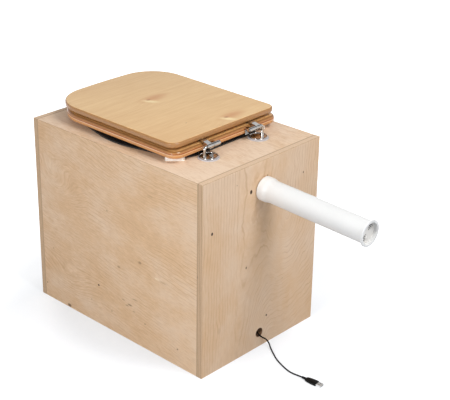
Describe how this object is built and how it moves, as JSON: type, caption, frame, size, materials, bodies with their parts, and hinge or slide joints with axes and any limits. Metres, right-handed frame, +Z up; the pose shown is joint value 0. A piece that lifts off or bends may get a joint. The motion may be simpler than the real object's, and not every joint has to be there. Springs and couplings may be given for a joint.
{
  "type": "composting toilet",
  "caption": "Free-standing plywood toilet box with a hinged wooden seat and lid, a urine separator, bucket, canister and a fan-driven vent pipe",
  "frame": {"origin": "on the floor, at the middle of the underside of the plywood box", "axes": "+Z up; +Y to the rear, where the vent pipe leaves; +X to the left of a seated user"},
  "size_m": [0.366, 0.8046, 0.496],
  "materials": {
    "plywood": "oiled",
    "seat_wood": "satin lacquer",
    "white_rubber": "matte",
    "ring_plastic": "satin",
    "chrome": "polished",
    "steel": "plain",
    "black_plastic": "satin",
    "canister_plastic": "translucent natural",
    "white_plastic": "semi-gloss",
    "cable_rubber": "satin"
  },
  "bodies": {
    "box": {"panel_front": "plywood", "panel_rear": "plywood", "panel_left": "plywood", "panel_right": "plywood", "panel_top": "plywood", "panel_bottom": "plywood", "hinge_ring_l": "ring_plastic", "hinge_ring_r": "ring_plastic", "hinge_disc_l": "chrome", "hinge_disc_r": "chrome", "hinge_post_l": "chrome", "hinge_post_r": "chrome", "hinge_washers": "steel", "hinge_wing_nuts": "steel", "separator": "black_plastic", "solids_bucket": "black_plastic", "urine_canister": "canister_plastic", "vent_adapter": "white_plastic", "vent_pipe": "white_plastic", "vent_grille": "white_plastic", "fan_housing": "black_plastic", "fan_screws": "steel", "fan_cable": "cable_rubber", "usb_cord": "cable_rubber", "usb_plug_body": "black_plastic", "usb_plug_shell": "steel"},
    "seat": {"seat_ring": "seat_wood", "seat_bumpers": "white_rubber", "seat_strap_l": "chrome", "seat_strap_r": "chrome", "seat_screws": "steel"},
    "lid": {"seat_lid": "seat_wood", "lid_bumpers": "white_rubber", "lid_strap_l": "chrome", "lid_strap_r": "chrome", "lid_screws": "steel"},
    "fan_rotor": {"fan_rotor": "black_plastic"}
  },
  "joints": [
    {"name": "seat_hinge", "type": "hinge", "parent": "box", "child": "seat", "pos_m": [-0.005, 0.1755, 0.4755], "axis": [-1, 0, 0], "range_deg": [0, 90]},
    {"name": "lid_hinge", "type": "hinge", "parent": "seat", "child": "lid", "pos_m": [-0.005, 0.1755, 0.4755], "axis": [-1, 0, 0], "range_deg": [0, 92]},
    {"name": "fan_spin", "type": "hinge", "parent": "box", "child": "fan_rotor", "pos_m": [-0.0026, 0.235, 0.3856], "axis": [0, 1, 0], "continuous": true}
  ]
}
